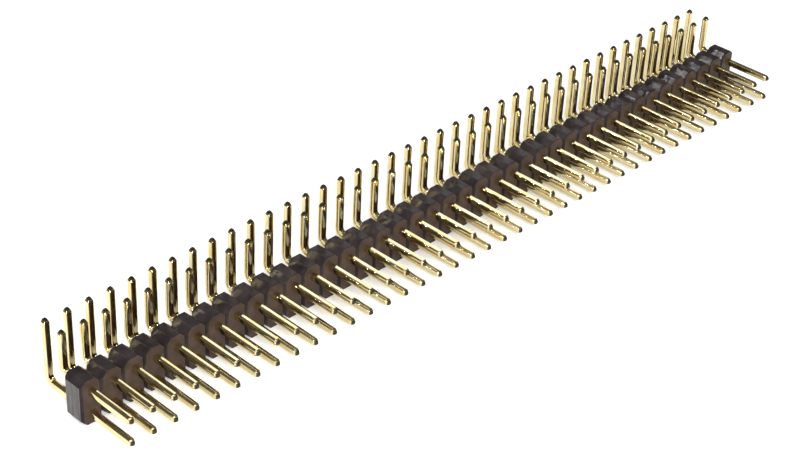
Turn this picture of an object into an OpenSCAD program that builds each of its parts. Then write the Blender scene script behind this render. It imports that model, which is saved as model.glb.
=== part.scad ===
// Right-angle pin header strip, two rows
//
// One moulded insulator carries a grid of square pins. It is a row of eight-sided
// cells that can be snapped apart at the notches between them. Each pin is one bent
// length of square wire: its contact stands out in front of the insulator, and behind
// the insulator it turns up into the tail that is soldered through a circuit board.
//
// X runs along the strip, the contacts point along -Y and the tails along +Z.
// The origin is in the middle of the insulator's lower side. All sizes are in mm.

/* [Strip] */
// Number of positions along the strip
positions = 40; // [2:1:50]
// Distance between neighbouring pins, along the strip and from row to row
pitch = 2.54; // [2.3:0.01:3]

/* [Insulator] */
// Depth of the moulding from its front to its back
body_d = 2.54; // [2:0.02:3]
// Size of the corner cut off each cell, which leaves the notches between cells
corner = 0.72; // [0.4:0.02:0.9]
// Depth of the V-grooves that run up the front and the back at each joint
groove = 0.24; // [0.1:0.02:0.5]
// How much of each end is trimmed off along the strip
end_trim = 0.12; // [0:0.02:0.3]
// Space left round each pin where it is pressed through the moulding
pin_gap = 0; // [0:0.01:0.05]

/* [Pins] */
// Thickness of the square wire
pin_w = 0.64; // [0.5:0.02:0.7]
// Length of the contacts in front of the insulator
contact_len = 6.2; // [4:0.1:12]
// Height of the tails above the insulator's upper side
tail_len = 3.4; // [2.4:0.1:8]
// Distance from the insulator's back to the middle of the nearer row of tails
tail_offset = 1.52; // [1.2:0.02:4]
// Radius inside the bend
bend_r = 0.45; // [0.3:0.05:0.7]
// Length of the four-sided point at each end
point_len = 0.35; // [0.1:0.05:0.8]
// Width of the flat left at the tip of a point
point_w = 0.3; // [0.1:0.02:0.5]

/* [Hidden] */
rows = 2;
body_h = rows * pitch;
body_l = positions * pitch - 2 * end_trim;
notch_side = corner * sqrt(2);
groove_side = groove * sqrt(2);
bore_w = pin_w + 2 * pin_gap;
bend_mid_r = bend_r + pin_w / 2;
smooth = 64;
plastic = [0.13, 0.125, 0.125];
gold = [0.83, 0.68, 0.35];

// Height of the middle of a row, counted from the lowest
function row_z(row) = (row + 0.5) * pitch;

// Place along the strip of a position, counted from 1
function position_x(k) = (k - (positions + 1) / 2) * pitch;

// How far the tails of a row stand behind the insulator: the lowest row stands furthest
function tail_y(row) = body_d / 2 + tail_offset + (rows - 1 - row) * pitch;

function pair_name(k) = str("pins_", k < 10 ? "0" : "", k);

// Everything that is cut across each joint between cells: the notch above and below
module joint_notches() {
    for (z = [0, body_h])
        translate([0, z]) rotate(45) square(notch_side, center = true);
}

// Front view of the insulator, with the square passages for the pins
module insulator_outline() {
    difference() {
        translate([-body_l / 2, 0]) square([body_l, body_h]);
        for (k = [1 : positions - 1])
            translate([position_x(k) + pitch / 2, 0]) joint_notches();
        for (side = [-1, 1])
            translate([side * body_l / 2, 0]) joint_notches();
        for (k = [1 : positions], row = [0 : rows - 1])
            translate([position_x(k), row_z(row)]) square(bore_w, center = true);
    }
}

// Plan of the two grooves at a joint or at an end, one in the front and one in the back
module joint_grooves() {
    for (side = [-1, 1])
        translate([0, side * body_d / 2]) rotate(45) square(groove_side, center = true);
}

module insulator() {
    color(plastic)
        difference() {
            rotate([90, 0, 0]) linear_extrude(body_d, center = true) insulator_outline();
            linear_extrude(body_h) {
                for (k = [1 : positions - 1])
                    translate([position_x(k) + pitch / 2, 0]) joint_grooves();
                for (side = [-1, 1])
                    translate([side * body_l / 2, 0]) joint_grooves();
            }
        }
}

// Side view of a straight length of wire that rises to a point
module leg_outline(length) {
    polygon([
        [-pin_w / 2, 0],
        [pin_w / 2, 0],
        [pin_w / 2, length - point_len],
        [point_w / 2, length],
        [-point_w / 2, length],
        [-pin_w / 2, length - point_len]
    ]);
}

// Straight length of square wire along +Z, pointed on all four sides
module leg(length) {
    intersection() {
        rotate([90, 0, 0]) linear_extrude(pin_w, center = true) leg_outline(length);
        rotate([90, 0, 90]) linear_extrude(pin_w, center = true) leg_outline(length);
    }
}

// Quarter turn of square wire about the X axis, from along +Y to along +Z
module bend() {
    rotate([0, 90, 0]) rotate_extrude(angle = 90, $fn = smooth)
        translate([bend_mid_r, 0]) square(pin_w, center = true);
}

// One bent pin of a row, at x = 0
module pin(row) {
    bend_y = tail_y(row) - bend_mid_r;
    bend_z = row_z(row) + bend_mid_r;
    contact_tip = body_d / 2 + contact_len;
    translate([0, bend_y, row_z(row)]) rotate([90, 0, 0]) leg(bend_y + contact_tip);
    translate([0, bend_y, bend_z]) bend();
    translate([0, tail_y(row), bend_z]) leg(body_h + tail_len - bend_z);
}

// The pins at one position, one above the other
module pin_pair(k) {
    color(gold)
        translate([position_x(k), 0, 0])
            for (row = [0 : rows - 1]) pin(row);
}

insulator();
for (k = [1 : positions])
    pin_pair(k);
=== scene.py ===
"""Finishes a right-angle pin header strip and sets it on a white table."""

import math

import bpy
import numpy as np
from bpy.props import FloatProperty, FloatVectorProperty, PointerProperty
from mathutils import Matrix, Vector


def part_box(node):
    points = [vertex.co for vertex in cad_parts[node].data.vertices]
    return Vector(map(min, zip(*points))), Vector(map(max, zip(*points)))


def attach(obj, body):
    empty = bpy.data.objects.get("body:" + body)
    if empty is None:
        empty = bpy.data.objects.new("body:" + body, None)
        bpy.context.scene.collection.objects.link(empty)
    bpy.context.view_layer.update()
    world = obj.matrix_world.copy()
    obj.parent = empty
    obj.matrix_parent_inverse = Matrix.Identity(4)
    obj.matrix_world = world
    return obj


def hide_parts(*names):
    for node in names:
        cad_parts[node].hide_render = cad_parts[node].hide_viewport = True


bl_info = {
    "name": "Pin header strip",
    "version": (1, 0, 0),
    "blender": (4, 5, 0),
    "location": "View3D > Sidebar > Pin header",
    "description": "Makes the finished moulding, the plated pins and the table of a pin header strip",
    "category": "Add Mesh",
}

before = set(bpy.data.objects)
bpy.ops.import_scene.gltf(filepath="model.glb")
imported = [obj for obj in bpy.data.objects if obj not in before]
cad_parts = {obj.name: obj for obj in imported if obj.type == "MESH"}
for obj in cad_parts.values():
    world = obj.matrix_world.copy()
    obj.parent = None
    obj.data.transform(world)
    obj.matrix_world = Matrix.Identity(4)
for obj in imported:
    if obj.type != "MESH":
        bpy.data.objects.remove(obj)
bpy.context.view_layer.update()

MM = 0.001  # a millimetre, in metres
BODY = "root"
INSULATOR = "insulator"
PIN_NODES = sorted(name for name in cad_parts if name.startswith("pins_"))

# The strip's own measures, in metres as the frame gives them
INSULATOR_LOW, INSULATOR_HIGH = (np.array(corner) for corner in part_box(INSULATOR))
PIN_LOW, PIN_HIGH = (np.array(corner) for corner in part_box(PIN_NODES[0]))
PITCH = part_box(PIN_NODES[1])[0][0] - PIN_LOW[0]
WIRE = PIN_HIGH[0] - PIN_LOW[0]
ROWS = 2

# How many straight steps make each rounded corner, rim, wire edge and bend
CORNER_STEPS = 3
RIM_STEPS = 3
WIRE_EDGE_STEPS = 4
BEND_STEPS = 8

# The crisp corners at the joints, the least radius of any corner, how far the guard points stand from
# an arc, and how near to each other two vertices are one
JOINT_RADIUS = 0.02 * MM
LEAST_RADIUS = 0.004 * MM
GUARD = 0.02 * MM
WELD = 1e-5 * MM


# ---------------------------------------------------------------- sizes and colours


class MouldingSettings(bpy.types.PropertyGroup):
    """Sizes and finish of the insulator"""

    notch: FloatProperty(
        name="Notch",
        description="Size of the corner cut off each cell",
        default=0.72 * MM,
        precision=5,
        subtype="DISTANCE",
        unit="LENGTH",
    )
    groove: FloatProperty(
        name="Groove",
        description="Depth of the V-grooves in the front and the back at each joint",
        default=0.24 * MM,
        precision=5,
        subtype="DISTANCE",
        unit="LENGTH",
    )
    edge_radius: FloatProperty(
        name="Edge radius",
        description="Radius of the moulded edges along the depth of a cell",
        default=0.1 * MM,
        precision=5,
        subtype="DISTANCE",
        unit="LENGTH",
    )
    rim_radius: FloatProperty(
        name="Rim radius",
        description="Radius of the edges round the front and the back",
        default=0.06 * MM,
        precision=5,
        subtype="DISTANCE",
        unit="LENGTH",
    )
    colour: FloatVectorProperty(
        name="Plastic",
        description="Colour of the moulded plastic",
        default=(0.0225, 0.0172, 0.0182),
        size=3,
        min=0.0,
        max=1.0,
        subtype="COLOR",
    )
    roughness: FloatProperty(
        name="Roughness",
        description="Roughness of the moulded surface",
        default=0.16,
        min=0.0,
        max=1.0,
        subtype="FACTOR",
    )
    # lighter and browner than the plastic: a painted reflection of the gilt pins on the faces they come
    # out of
    face_colour_with_painted_reflection: FloatVectorProperty(
        name="Faces",
        description="Colour of the faces that the pins come out of",
        default=(0.059, 0.0395, 0.031),
        size=3,
        min=0.0,
        max=1.0,
        subtype="COLOR",
    )
    face_roughness: FloatProperty(
        name="Face roughness",
        description="Roughness of the faces that the pins come out of",
        default=0.34,
        min=0.0,
        max=1.0,
        subtype="FACTOR",
    )


class PinSettings(bpy.types.PropertyGroup):
    """Sizes and finish of the pins"""

    bend_radius: FloatProperty(
        name="Bend radius",
        description="Radius inside the bend",
        default=0.45 * MM,
        precision=5,
        subtype="DISTANCE",
        unit="LENGTH",
    )
    edge_radius: FloatProperty(
        name="Edge radius",
        description="Radius of the four long edges of the wire",
        default=0.07 * MM,
        precision=5,
        subtype="DISTANCE",
        unit="LENGTH",
    )
    point_length: FloatProperty(
        name="Point length",
        description="Length of the four-sided point at each end",
        default=0.35 * MM,
        precision=5,
        subtype="DISTANCE",
        unit="LENGTH",
    )
    point_width: FloatProperty(
        name="Point width",
        description="Width of the flat left at the tip of a point",
        default=0.3 * MM,
        precision=5,
        subtype="DISTANCE",
        unit="LENGTH",
    )
    colour: FloatVectorProperty(
        name="Gilding",
        description="Colour of the plated surface",
        default=(0.78, 0.705, 0.455),
        size=3,
        min=0.0,
        max=1.0,
        subtype="COLOR",
    )
    cut_colour: FloatVectorProperty(
        name="Tips",
        description="Colour of the bare metal where the wire was cut at the tips",
        default=(0.055, 0.048, 0.028),
        size=3,
        min=0.0,
        max=1.0,
        subtype="COLOR",
    )
    roughness: FloatProperty(
        name="Roughness",
        description="Roughness of the plated surface",
        default=0.085,
        min=0.0,
        max=1.0,
        subtype="FACTOR",
    )
    cut_roughness: FloatProperty(
        name="Tip roughness",
        description="Roughness of the bare metal at the tips",
        default=0.45,
        min=0.0,
        max=1.0,
        subtype="FACTOR",
    )


class StageSettings(bpy.types.PropertyGroup):
    """Camera and the light of the surroundings"""

    azimuth: FloatProperty(
        name="Azimuth",
        description="Direction that the camera stands in, turned from -Y towards +X",
        default=math.radians(-46.75),
        precision=4,
        subtype="ANGLE",
        unit="ROTATION",
    )
    elevation: FloatProperty(
        name="Elevation",
        description="Height of the camera above the horizon, seen from its target",
        default=math.radians(32.94),
        precision=4,
        subtype="ANGLE",
        unit="ROTATION",
    )
    roll: FloatProperty(
        name="Roll",
        description="Turn of the camera about its own line of sight",
        default=math.radians(2.85),
        precision=4,
        subtype="ANGLE",
        unit="ROTATION",
    )
    distance: FloatProperty(
        name="Distance",
        description="Distance from the camera to its target",
        default=191.36 * MM,
        precision=5,
        subtype="DISTANCE",
        unit="LENGTH",
    )
    target: FloatVectorProperty(
        name="Target",
        description="Point that the camera looks at, from the middle of the insulator",
        default=(-9.55 * MM, -0.93 * MM, 2.03 * MM),
        size=3,
        precision=5,
        subtype="TRANSLATION",
        unit="LENGTH",
    )
    lens: FloatProperty(
        name="Lens",
        description="Focal length of the camera in millimetres",
        default=82.9,
        min=10.0,
        subtype="NONE",
    )
    table_light: FloatProperty(
        name="Table light",
        description="How brightly the white table glows",
        default=0.2,
        min=0.0,
        subtype="NONE",
    )
    sky_light: FloatProperty(
        name="Room light",
        description="Brightness of the room round the table",
        default=0.12,
        min=0.0,
        subtype="NONE",
    )


# ---------------------------------------------------------------- surfaces


def arc(centre, radius, start, end, steps):
    """Points on a circle in a plane: centre + radius (cos a, sin a), a running evenly in degrees."""
    angle = np.radians(np.linspace(start, end, steps + 1))
    return np.array(centre) + radius * np.stack([np.cos(angle), np.sin(angle)], axis=1)


def rounded_square(width, radius, steps):
    """Outline of a square with round corners, anticlockwise: four quarter circles joined by the flats."""
    inner = width / 2 - radius
    corners = [(1, 1, 0), (-1, 1, 90), (-1, -1, 180), (1, -1, 270)]
    return np.concatenate(
        [arc((sx * inner, sy * inner), radius, a, a + 90, steps) for sx, sy, a in corners]
    )


def side_faces(rings, points):
    """Four-sided faces between neighbouring rings of a tube whose vertices run ring by ring."""
    ring = np.arange(rings - 1)[:, None]
    point = np.arange(points)[None, :]
    after = (point + 1) % points
    low, high = ring * points, (ring + 1) * points
    corners = [low + point, low + after, high + after, high + point]
    return np.stack(corners, axis=-1).reshape(-1, 4)


def end_faces(rings, points):
    """The two faces that close a tube: its first ring backwards and its last ring forwards."""
    ring = np.arange(points)
    return [ring[::-1], (rings - 1) * points + ring]


def shifted(faces, start):
    """Faces as lists of vertex numbers, each number moved on by start."""
    return [(np.asarray(face) + start).tolist() for face in faces]


def new_object(name, data):
    """An object of the scene that shows a mesh, a light or a camera."""
    obj = bpy.data.objects.new(name, data)
    bpy.context.scene.collection.objects.link(obj)
    return obj


def mesh_object(name, vertices, faces, material, uv=None, crease=35):
    """An object at the origin from its vertices and faces, shaded smooth up to edges of crease degrees."""
    mesh = bpy.data.meshes.new(name)
    mesh.from_pydata(vertices.tolist(), [], faces)
    mesh.shade_smooth()
    mesh.set_sharp_from_angle(angle=math.radians(crease))
    if uv is not None:
        loops = np.empty(len(mesh.loops), dtype=np.int64)
        mesh.loops.foreach_get("vertex_index", loops)
        layer = mesh.uv_layers.new(name="UVMap")
        layer.data.foreach_set("uv", uv[loops].astype(np.float32).ravel())
    mesh.materials.append(material)
    return new_object(name, mesh)


def dress_node(name, material):
    """Gives a node of the frame the material of the piece that stands for it."""
    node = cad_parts[name]
    node.data.materials.clear()
    node.data.materials.append(material)


# ---------------------------------------------------------------- materials


def new_material(name):
    """An empty node material and its Principled shader, wired to the output."""
    material = bpy.data.materials.new(name)
    material.use_nodes = True
    nodes = material.node_tree.nodes
    nodes.clear()
    output = nodes.new("ShaderNodeOutputMaterial")
    output.location = (900, 0)
    shader = nodes.new("ShaderNodeBsdfPrincipled")
    shader.location = (600, 0)
    material.node_tree.links.new(shader.outputs["BSDF"], output.inputs["Surface"])
    return material, shader


def coordinates(material):
    """A Texture Coordinate node: Object for patterns in space, UV for those that follow a wire."""
    node = material.node_tree.nodes.new("ShaderNodeTexCoord")
    node.location = (-1200, 0)
    return node


def mottle_group():
    """Shader group: a soft random value over the surface, for tone, gloss, waves and grain.

    Value = Low + (High - Low) * noise(Vector * Stretch, Scale, Detail), where the noise, which mostly lies
    between 0.3 and 0.7, is spread to run from 0 to 1.
    """
    name = "mottle"
    if name in bpy.data.node_groups:
        return bpy.data.node_groups[name]
    tree = bpy.data.node_groups.new(name, "ShaderNodeTree")
    interface = tree.interface
    interface.new_socket("Vector", in_out="INPUT", socket_type="NodeSocketVector")
    stretch = interface.new_socket("Stretch", in_out="INPUT", socket_type="NodeSocketVector")
    stretch.default_value = (1.0, 1.0, 1.0)
    for label, value in (("Scale", 1000.0), ("Detail", 3.0), ("Low", 0.0), ("High", 1.0)):
        socket = interface.new_socket(label, in_out="INPUT", socket_type="NodeSocketFloat")
        socket.default_value = value
    interface.new_socket("Value", in_out="OUTPUT", socket_type="NodeSocketFloat")
    nodes, links = tree.nodes, tree.links
    inside = nodes.new("NodeGroupInput")
    outside = nodes.new("NodeGroupOutput")
    scaled = nodes.new("ShaderNodeVectorMath")
    scaled.operation = "MULTIPLY"
    noise = nodes.new("ShaderNodeTexNoise")
    spread = nodes.new("ShaderNodeMapRange")
    spread.inputs["From Min"].default_value = 0.3
    spread.inputs["From Max"].default_value = 0.7
    for place, node in enumerate((inside, scaled, noise, spread, outside)):
        node.location = (220 * place, 0)
    links.new(inside.outputs["Vector"], scaled.inputs[0])
    links.new(inside.outputs["Stretch"], scaled.inputs[1])
    links.new(scaled.outputs[0], noise.inputs["Vector"])
    links.new(inside.outputs["Scale"], noise.inputs["Scale"])
    links.new(inside.outputs["Detail"], noise.inputs["Detail"])
    links.new(noise.outputs["Fac"], spread.inputs["Value"])
    links.new(inside.outputs["Low"], spread.inputs["To Min"])
    links.new(inside.outputs["High"], spread.inputs["To Max"])
    links.new(spread.outputs["Result"], outside.inputs["Value"])
    return tree


def mottle(material, vector, place, scale, low=0.0, high=1.0, detail=3.0, stretch=(1, 1, 1)):
    """Places the mottle group in a material and gives its output socket."""
    node = material.node_tree.nodes.new("ShaderNodeGroup")
    node.node_tree = mottle_group()
    node.location = place
    material.node_tree.links.new(vector, node.inputs["Vector"])
    node.inputs["Stretch"].default_value = stretch
    node.inputs["Scale"].default_value = scale
    node.inputs["Detail"].default_value = detail
    node.inputs["Low"].default_value = low
    node.inputs["High"].default_value = high
    return node.outputs["Value"]


def set_or_link(links, value, socket):
    """Gives a socket its value: a link from another socket, a colour or a number."""
    if isinstance(value, bpy.types.NodeSocket):
        links.new(value, socket)
    elif np.ndim(value):
        socket.default_value = (*value, 1.0)
    else:
        socket.default_value = value


def blended(material, factor, first, second, place, kind="RGBA"):
    """A Mix node between two colours or two floats, driven by a value over the surface."""
    node = material.node_tree.nodes.new("ShaderNodeMix")
    node.data_type = kind
    node.location = place
    # the node keeps a set of sockets for each kind: the number of its first input and of its result
    start, result = {"FLOAT": (2, 0), "RGBA": (6, 2)}[kind]
    links = material.node_tree.links
    links.new(factor, node.inputs["Factor"])
    set_or_link(links, first, node.inputs[start])
    set_or_link(links, second, node.inputs[start + 1])
    return node.outputs[result]


def shaded(material, value, colour, low, high, place):
    """A colour that runs from low times to high times itself, driven by a value over the surface."""
    return blended(material, value, np.array(colour) * low, np.array(colour) * high, place)


def bumped_normal(material, height, depth, place, under=None):
    """A Bump node of a depth in metres over a height value, on top of another normal if one is given."""
    node = material.node_tree.nodes.new("ShaderNodeBump")
    node.location = place
    node.inputs["Strength"].default_value = 1.0
    node.inputs["Distance"].default_value = depth
    material.node_tree.links.new(height, node.inputs["Height"])
    if under is not None:
        material.node_tree.links.new(under, node.inputs["Normal"])
    return node.outputs["Normal"]


def ramp_mask(material, vector, axis, low, high, place, either_side=False):
    """A mask along an axis of a vector: none at low, full at high and beyond it.

    With either_side it is the same on both sides of zero.
    """
    nodes, links = material.node_tree.nodes, material.node_tree.links
    apart = nodes.new("ShaderNodeSeparateXYZ")
    apart.location = place
    links.new(vector, apart.inputs["Vector"])
    distance = apart.outputs[axis]
    if either_side:
        size = nodes.new("ShaderNodeMath")
        size.operation = "ABSOLUTE"
        size.location = (place[0] + 150, place[1])
        links.new(distance, size.inputs[0])
        distance = size.outputs[0]
    ramp = nodes.new("ShaderNodeMapRange")
    ramp.location = (place[0] + 300, place[1])
    ramp.inputs["From Min"].default_value = low
    ramp.inputs["From Max"].default_value = high
    links.new(distance, ramp.inputs["Value"])
    return ramp.outputs["Result"]


def outer_faces(material, where, axis, distance, place):
    """A mask over the moulding's two faces at a distance from the middle, fading just inside of them."""
    rim = 0.02 * MM
    return ramp_mask(
        material, where, axis, distance - rim, distance - rim / 2, place, either_side=True
    )


def plastic_material(moulding):
    """Black moulded plastic.

    Its skin is slightly wavy, with uneven tone and gloss. The faces that the pins come out of are duller,
    and painted browner and lighter as a painted reflection of the gilt pins; the two ends, where the strip
    was broken off, are streaky and painted paler as a painted sheen of the bright table.
    """
    material, shader = new_material("moulded_plastic")
    links = material.node_tree.links
    where = coordinates(material).outputs["Object"]
    half_length, half_depth = ((INSULATOR_HIGH - INSULATOR_LOW) / 2)[:2]
    ends = outer_faces(material, where, "X", half_length, (-800, 900))
    faces = outer_faces(material, where, "Y", half_depth, (-800, 1200))

    tone = mottle(material, where, (-800, 300), scale=700.0)
    skin = shaded(material, tone, moulding.colour, low=0.7, high=1.6, place=(-400, 300))
    # the faces that the pins come out of: the plastic, painted lighter and browner as a painted reflection
    # of the gilt pins
    face = shaded(material, tone, moulding.face_colour_with_painted_reflection, low=0.75, high=1.3, place=(-400, 100))
    moulded = blended(material, faces, skin, face, (-200, 300))
    upright = (1.0, 1.0, 0.12)
    streaks = mottle(material, where, (-800, 600), scale=2500.0, stretch=upright)
    # the two ends: a streaky break, painted paler as a painted sheen of the bright table
    greyer = np.array(moulding.colour) * np.array((1.28, 1.55, 1.4))
    snapped_end_and_sheen = shaded(material, streaks, greyer, low=2.0, high=4.75, place=(-400, 600))
    colour = blended(material, ends, moulded, snapped_end_and_sheen, (0, 400))

    glossiest, dullest = moulding.roughness - 0.06, moulding.roughness + 0.03
    gloss = mottle(material, where, (-800, 0), scale=1400.0, low=glossiest, high=dullest)
    roughness = blended(material, faces, gloss, moulding.face_roughness, (0, 100), "FLOAT")

    sink = mottle(material, where, (-800, -600), scale=850.0, detail=1.0)
    grain = mottle(material, where, (-800, -300), scale=9000.0, detail=2.0)
    waves = bumped_normal(material, sink, depth=0.028 * MM, place=(0, -500))
    normal = bumped_normal(material, grain, depth=0.003 * MM, place=(200, -300), under=waves)

    links.new(colour, shader.inputs["Base Color"])
    links.new(roughness, shader.inputs["Roughness"])
    links.new(normal, shader.inputs["Normal"])
    shader.inputs["IOR"].default_value = 1.42
    shader.inputs["Specular IOR Level"].default_value = 0.12
    return material


def gilt_material(pins):
    """Thin bright gilding on drawn wire, with paler and deeper patches, faint lines and dull, bare tips.

    Along the wire V counts up from the nearer tip, in widths of the wire, so the bare metal covers the
    flat end and the outer part of each point.
    """
    material, shader = new_material("gilt_wire")
    links = material.node_tree.links
    place = coordinates(material)
    where, along = place.outputs["Object"], place.outputs["UV"]
    bare = ramp_mask(material, along, "Y", low=0.4, high=0.25, place=(-800, 600))

    deeper = np.array(pins.colour) * np.array((0.88, 0.76, 0.54))
    tone = mottle(material, where, (-400, 300), scale=500.0)
    gilding = blended(material, tone, pins.colour, deeper, (-200, 300))
    colour = blended(material, bare, gilding, pins.cut_colour, (200, 300))

    glossiest, dullest = pins.roughness - 0.05, pins.roughness + 0.07
    gloss = mottle(material, where, (-400, 0), scale=900.0, low=glossiest, high=dullest)
    roughness = blended(material, bare, gloss, pins.cut_roughness, (200, 0), "FLOAT")

    along_wire = (1.0, 0.02, 1.0)
    lines = mottle(material, along, (-400, -300), scale=60.0, detail=2.0, stretch=along_wire)
    normal = bumped_normal(material, lines, depth=0.0007 * MM, place=(200, -300))

    links.new(colour, shader.inputs["Base Color"])
    links.new(roughness, shader.inputs["Roughness"])
    links.new(normal, shader.inputs["Normal"])
    shader.inputs["Metallic"].default_value = 1.0
    return material


def table_material(strength):
    """A dull white surface of very slightly uneven tone, which glows a little."""
    material, shader = new_material("white_table")
    links = material.node_tree.links
    where = coordinates(material).outputs["Object"]
    cool_white, white = (0.97, 0.98, 0.98), (1.0, 1.0, 1.0)
    tone = mottle(material, where, (-400, 0), scale=6.0, detail=1.0)
    colour = blended(material, tone, cool_white, white, (200, 0))
    links.new(colour, shader.inputs["Base Color"])
    links.new(colour, shader.inputs["Emission Color"])
    shader.inputs["Emission Strength"].default_value = strength
    shader.inputs["Roughness"].default_value = 0.9
    return material


# ---------------------------------------------------------------- moulding


def rounded(corners, radii, steps, guard):
    """A convex outline with round corners, clockwise, with a guard point on the flat beside each arc.

    An arc that turns through angle t touches the flats at r tan(t / 2) from the corner, and its centre
    lies r / cos(t / 2) from the corner, inwards along the bisector.
    """
    points = []
    for before, corner, after, radius in zip(
        np.roll(corners, 1, axis=0), corners, np.roll(corners, -1, axis=0), radii
    ):
        back = (before - corner) / np.linalg.norm(before - corner)
        onward = (after - corner) / np.linalg.norm(after - corner)
        turn = math.pi - math.acos(float(back @ onward))
        inwards = (back + onward) / np.linalg.norm(back + onward)
        centre = corner + inwards * radius / math.cos(turn / 2)
        start = corner + back * radius * math.tan(turn / 2) - centre
        first = math.degrees(math.atan2(start[1], start[0]))
        bow = arc(centre, radius, first, first - math.degrees(turn), steps)
        points += [bow[0] + back * guard, *bow, bow[-1] + onward * guard]
    return np.array(points)


def end_trims(left, right):
    """How much of a cell is trimmed off at its left and its right end: only the strip's own ends are."""
    half = INSULATOR_HIGH[0]
    trim = len(PIN_NODES) * PITCH / 2 - half
    return [trim if math.isclose(abs(end), half, rel_tol=1e-6) else 0.0 for end in (left, right)]


def cell_outline(moulding, left, right, shrink, inset):
    """Front outline of one cell as points (x, z), clockwise, drawn in at its two ends and then all round.

    An eight-sided cell with corners cut by c keeps its sloping sides while its ends move in by s, with
    c - s left of the cut, and an inset d then makes each cut shorter by (2 - sqrt 2) d. The corners at the
    joints are crisp, and the four along the top and the bottom have the moulding's edge radius.
    """
    low, high = INSULATOR_LOW[2] + inset, INSULATOR_HIGH[2] - inset
    cuts = [moulding.notch - trim - shrink for trim in end_trims(left, right)]
    shorter = (2 - math.sqrt(2)) * inset
    first, last = (cut - shorter for cut in cuts)
    left, right = left + shrink + inset, right - shrink - inset
    corners = np.array(
        [
            (left, low + first),
            (left, high - first),
            (left + first, high),
            (right - last, high),
            (right, high - last),
            (right, low + last),
            (right - last, low),
            (left + first, low),
        ]
    )
    crisp, soft = (max(r - inset, LEAST_RADIUS) for r in (JOINT_RADIUS, moulding.edge_radius))
    return rounded(corners, 2 * [crisp, crisp, soft, soft], CORNER_STEPS, GUARD)


def cell_profile(moulding):
    """How a cell's outline changes through the depth: its place y, how far its ends shrink, and its inset.

    At depth t from the front or the back the ends shrink by groove - t, which leaves the V-grooves. At
    angle a of the rim the outline is inset by r (1 - cos a) and lies r (1 - sin a) inside the face. One
    more ring, inset a little further, keeps the flat of the face apart from its rim.
    """
    radius, groove = moulding.rim_radius, moulding.groove
    angle = np.radians(np.linspace(90, 0, RIM_STEPS + 1))
    flat_inset = 1.4 * radius
    insets = np.concatenate([[flat_inset], radius * (1 - np.cos(angle)), [0.0]])
    depths = np.concatenate([[0.0], radius * (1 - np.sin(angle)), [groove]])
    places = np.concatenate([INSULATOR_LOW[1] + depths, INSULATOR_HIGH[1] - depths[::-1]])
    shrinks = groove - np.concatenate([depths, depths[::-1]])
    return places, shrinks, np.concatenate([insets, insets[::-1]])


def moulding_mesh(moulding):
    """The insulator's skin: each cell's outline carried through the depth, with nothing inside a joint."""
    profile = list(zip(*cell_profile(moulding)))
    joints = (np.arange(1, len(PIN_NODES)) - len(PIN_NODES) / 2) * PITCH
    breaks = np.concatenate([[INSULATOR_LOW[0]], joints, [INSULATOR_HIGH[0]]])
    cells, faces = [], []
    for left, right in zip(breaks[:-1], breaks[1:]):
        rings = []
        for y, shrink, inset in profile:
            x, z = cell_outline(moulding, left, right, shrink, inset).T
            rings.append(np.stack([x, np.full(len(x), y), z], axis=1))
        cell, points = np.concatenate(rings), len(rings[0])
        sides = side_faces(len(rings), points)
        across = cell[sides][:, :, 0]
        flat = np.ptp(across, axis=1) < WELD
        at_joint = np.min(np.abs(across[:, :1] - joints[None, :]), axis=1) < WELD
        outside = sides[~(flat & at_joint)]
        faces += shifted([*outside, *end_faces(len(rings), points)], len(cells) * len(cell))
        cells.append(cell)
    return welded(np.concatenate(cells), faces)


def welded(vertices, faces):
    """Joins the vertices that lie in the same place, so neighbouring cells share their edges."""
    grid = np.round(vertices / WELD).astype(np.int64)
    _, kept, number = np.unique(grid, axis=0, return_index=True, return_inverse=True)
    number = number.reshape(-1)
    return vertices[kept], [number[face].tolist() for face in faces]


class PINHEADER_OT_moulding(bpy.types.Operator):
    """Make the insulator: one black moulding of eight-sided cells"""

    bl_idname = "pin_header.moulding"
    bl_label = "Insulator"

    def execute(self, context):
        moulding = context.scene.pin_header_moulding
        vertices, faces = moulding_mesh(moulding)
        material = plastic_material(moulding)
        piece = mesh_object("insulator_moulding", vertices, faces, material)
        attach(piece, BODY)
        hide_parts(INSULATOR)
        dress_node(INSULATOR, material)
        return {"FINISHED"}


# ---------------------------------------------------------------- pins


def wire_path(height, tail_y, tip_y, top_z, bend_radius, point_length):
    """Middle line of a pin in the YZ plane, the angle that it faces at each place and how far it has run.

    It runs along +Y from the contact's tip, through a quarter circle, and up to the tail's tip. A place
    just behind each point keeps the point's edges crisp.
    """
    from_tip = np.array([0.0, 1.0, 1.15]) * point_length
    straight = np.ones(len(from_tip))
    contact = np.stack([tip_y + from_tip, height * straight], axis=1)
    turn = arc((tail_y - bend_radius, height + bend_radius), bend_radius, -90, 0, BEND_STEPS)
    tail = np.stack([tail_y * straight, top_z - from_tip[::-1]], axis=1)
    path = np.concatenate([contact, turn, tail])
    facing = np.concatenate([0 * straight, np.linspace(0, 90, BEND_STEPS + 1), 90 * straight])
    run = np.concatenate([[0], np.cumsum(np.linalg.norm(np.diff(path, axis=0), axis=1))])
    return path, np.radians(facing), run


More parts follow.
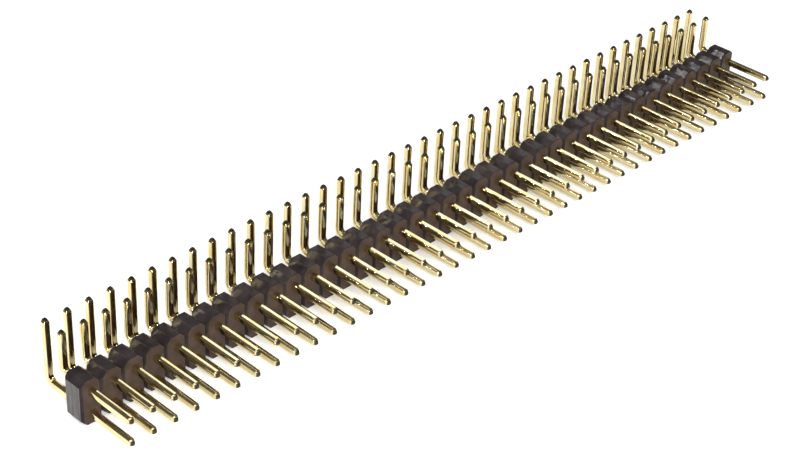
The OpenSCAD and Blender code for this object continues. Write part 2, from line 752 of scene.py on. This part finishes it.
def pin_mesh(pins, row):
    """One pin at x = 0: a round-cornered square carried along the wire's middle line.

    A vertex lies at middle line + size * (u X + v n), where (u, v) is a point of the square, n is at right
    angles to the way the wire faces, in the plane of the bend, and size is 1 but for the two tips.
    """
    height = INSULATOR_LOW[2] + (row + 0.5) * PITCH
    tail_y = PIN_HIGH[1] - WIRE / 2 - row * PITCH
    bend = pins.bend_radius + WIRE / 2
    path, facing, run = wire_path(height, tail_y, PIN_LOW[1], PIN_HIGH[2], bend, pins.point_length)
    section = rounded_square(WIRE, pins.edge_radius, WIRE_EDGE_STEPS)
    rings, points = len(path), len(section)
    size = np.ones(rings)
    size[[0, -1]] = pins.point_width / WIRE
    normal = np.stack([np.zeros(rings), -np.sin(facing), np.cos(facing)], axis=1)
    centre = np.concatenate([np.zeros((rings, 1)), path], axis=1)
    across = section[:, 0][None, :, None] * np.array([1.0, 0.0, 0.0])
    upward = section[:, 1][None, :, None] * normal[:, None, :]
    vertices = centre[:, None, :] + size[:, None, None] * (across + upward)
    faces = [face[::-1] for face in [*side_faces(rings, points), *end_faces(rings, points)]]
    around = np.linspace(0, 1, points)
    from_tip = np.minimum(run, run[-1] - run) / WIRE
    uv = np.stack(np.broadcast_arrays(around[None, :], from_tip[:, None]), axis=-1)
    return vertices.reshape(-1, 3), faces, uv.reshape(-1, 2)


def pair_mesh(pins):
    """The pins of one position, one above the other, at x = 0."""
    vertices, faces, uv = [], [], []
    for row in range(ROWS):
        pin, sides, places = pin_mesh(pins, row)
        faces += shifted(sides, row * len(pin))
        vertices.append(pin)
        uv.append(places)
    return np.concatenate(vertices), faces, np.concatenate(uv)


class PINHEADER_OT_pins(bpy.types.Operator):
    """Make the plated pins, two at each position"""

    bl_idname = "pin_header.pins"
    bl_label = "Pins"

    def execute(self, context):
        pins = context.scene.pin_header_pins
        material = gilt_material(pins)
        pair, faces, uv = pair_mesh(pins)
        for name in PIN_NODES:
            low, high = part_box(name)
            place = pair + np.array([(low[0] + high[0]) / 2, 0.0, 0.0])
            piece = mesh_object(f"gilt_{name}", place, faces, material, uv, crease=24)
            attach(piece, BODY)
            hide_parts(name)
            dress_node(name, material)
        return {"FINISHED"}


# ---------------------------------------------------------------- stage


def point_at(obj, target, roll=0.0):
    """Turns an object's -Z axis to a target, with its Y axis up, and then rolls it."""
    facing = (Vector(target) - obj.location).to_track_quat("-Z", "Y").to_matrix()
    obj.rotation_euler = (facing @ Matrix.Rotation(roll, 3, "Z")).to_euler()


def add_table(strength):
    """A wide white table, a hair's breadth under the strip."""
    half, gap = 1.5, 0.01 * MM
    z = INSULATOR_LOW[2] - gap
    vertices = np.array([[-half, -half, z], [half, -half, z], [half, half, z], [-half, half, z]])
    table = mesh_object("table", vertices, [[0, 1, 2, 3]], table_material(strength))


def add_panel(name, direction, distance, size, radiance):
    """A soft rectangular light, size metres wide and high, that shines on the strip from a direction."""
    data = bpy.data.lights.new(name, "AREA")
    data.shape = "RECTANGLE"
    data.size, data.size_y = size
    # a flat light of area A and P watts shows a radiance of P / (pi A)
    data.energy = radiance * math.pi * size[0] * size[1]
    light = new_object(name, data)
    light.location = Vector(direction).normalized() * distance
    point_at(light, (0.0, 0.0, 0.0))


def add_room(strength):
    """A dim, slightly warm room all round."""
    world = bpy.data.worlds.new("room")
    world.use_nodes = True
    background = world.node_tree.nodes["Background"]
    background.inputs["Color"].default_value = (1.0, 0.98, 0.95, 1.0)
    background.inputs["Strength"].default_value = strength
    bpy.context.scene.world = world


def add_camera(stage):
    """The camera, set by its azimuth, elevation and distance from a target near the strip's middle."""
    data = bpy.data.cameras.new("camera")
    data.lens = stage.lens
    data.clip_start, data.clip_end = 0.01, 10.0
    camera = new_object("camera", data)
    level = math.cos(stage.elevation)
    outwards = Vector(
        (
            math.sin(stage.azimuth) * level,
            -math.cos(stage.azimuth) * level,
            math.sin(stage.elevation),
        )
    )
    target = Vector((INSULATOR_LOW + INSULATOR_HIGH) / 2) + Vector(stage.target)
    camera.location = target + outwards * stage.distance
    point_at(camera, target, stage.roll)
    bpy.context.scene.camera = camera


class PINHEADER_OT_stage(bpy.types.Operator):
    """Set up the white table, the lights and the camera"""

    bl_idname = "pin_header.stage"
    bl_label = "Table, lights and camera"

    def execute(self, context):
        stage = context.scene.pin_header_stage
        add_camera(stage)
        add_table(stage.table_light)
        # a panel for the tops of the cells to mirror, and a small lamp for their sloping faces
        add_panel("back_panel", (0.625, 0.57, 0.535), 0.6, size=(0.2, 0.17), radiance=1.75)
        add_panel("lamp", (-0.365, 0.495, 0.789), 0.484, size=(0.02, 0.02), radiance=300.0)
        # the main light, beside the camera, and a soft one overhead
        add_panel("front_softbox", (-0.523, -0.624, 0.58), 0.4, size=(0.1, 0.1), radiance=48.0)
        add_panel("ceiling", (-0.1, -0.1, 1.0), 1.0, size=(1.0, 1.0), radiance=1.9)
        add_room(stage.sky_light)
        context.scene.view_settings.view_transform = "Standard"
        return {"FINISHED"}


# ---------------------------------------------------------------- add-on


class PINHEADER_PT_panel(bpy.types.Panel):
    """Sidebar panel with every setting, and the operator that uses it"""

    bl_label = "Pin header strip"
    bl_idname = "PINHEADER_PT_panel"
    bl_space_type = "VIEW_3D"
    bl_region_type = "UI"
    bl_category = "Pin header"

    def draw(self, context):
        scene = context.scene
        groups = (
            (scene.pin_header_moulding, PINHEADER_OT_moulding),
            (scene.pin_header_pins, PINHEADER_OT_pins),
            (scene.pin_header_stage, PINHEADER_OT_stage),
        )
        for group, operator in groups:
            box = self.layout.box()
            for name in group.bl_rna.properties.keys():
                if name not in {"rna_type", "name"}:
                    box.prop(group, name)
            box.operator(operator.bl_idname)


CLASSES = (
    MouldingSettings,
    PinSettings,
    StageSettings,
    PINHEADER_OT_moulding,
    PINHEADER_OT_pins,
    PINHEADER_OT_stage,
    PINHEADER_PT_panel,
)


def register():
    for cls in CLASSES:
        bpy.utils.register_class(cls)
    bpy.types.Scene.pin_header_moulding = PointerProperty(type=MouldingSettings)
    bpy.types.Scene.pin_header_pins = PointerProperty(type=PinSettings)
    bpy.types.Scene.pin_header_stage = PointerProperty(type=StageSettings)


def unregister():
    del bpy.types.Scene.pin_header_stage
    del bpy.types.Scene.pin_header_pins
    del bpy.types.Scene.pin_header_moulding
    for cls in reversed(CLASSES):
        bpy.utils.unregister_class(cls)


def main():
    """Makes every piece and the stage."""
    register()
    bpy.ops.pin_header.stage()
    bpy.ops.pin_header.moulding()
    bpy.ops.pin_header.pins()


if __name__ == "__main__":
    main()
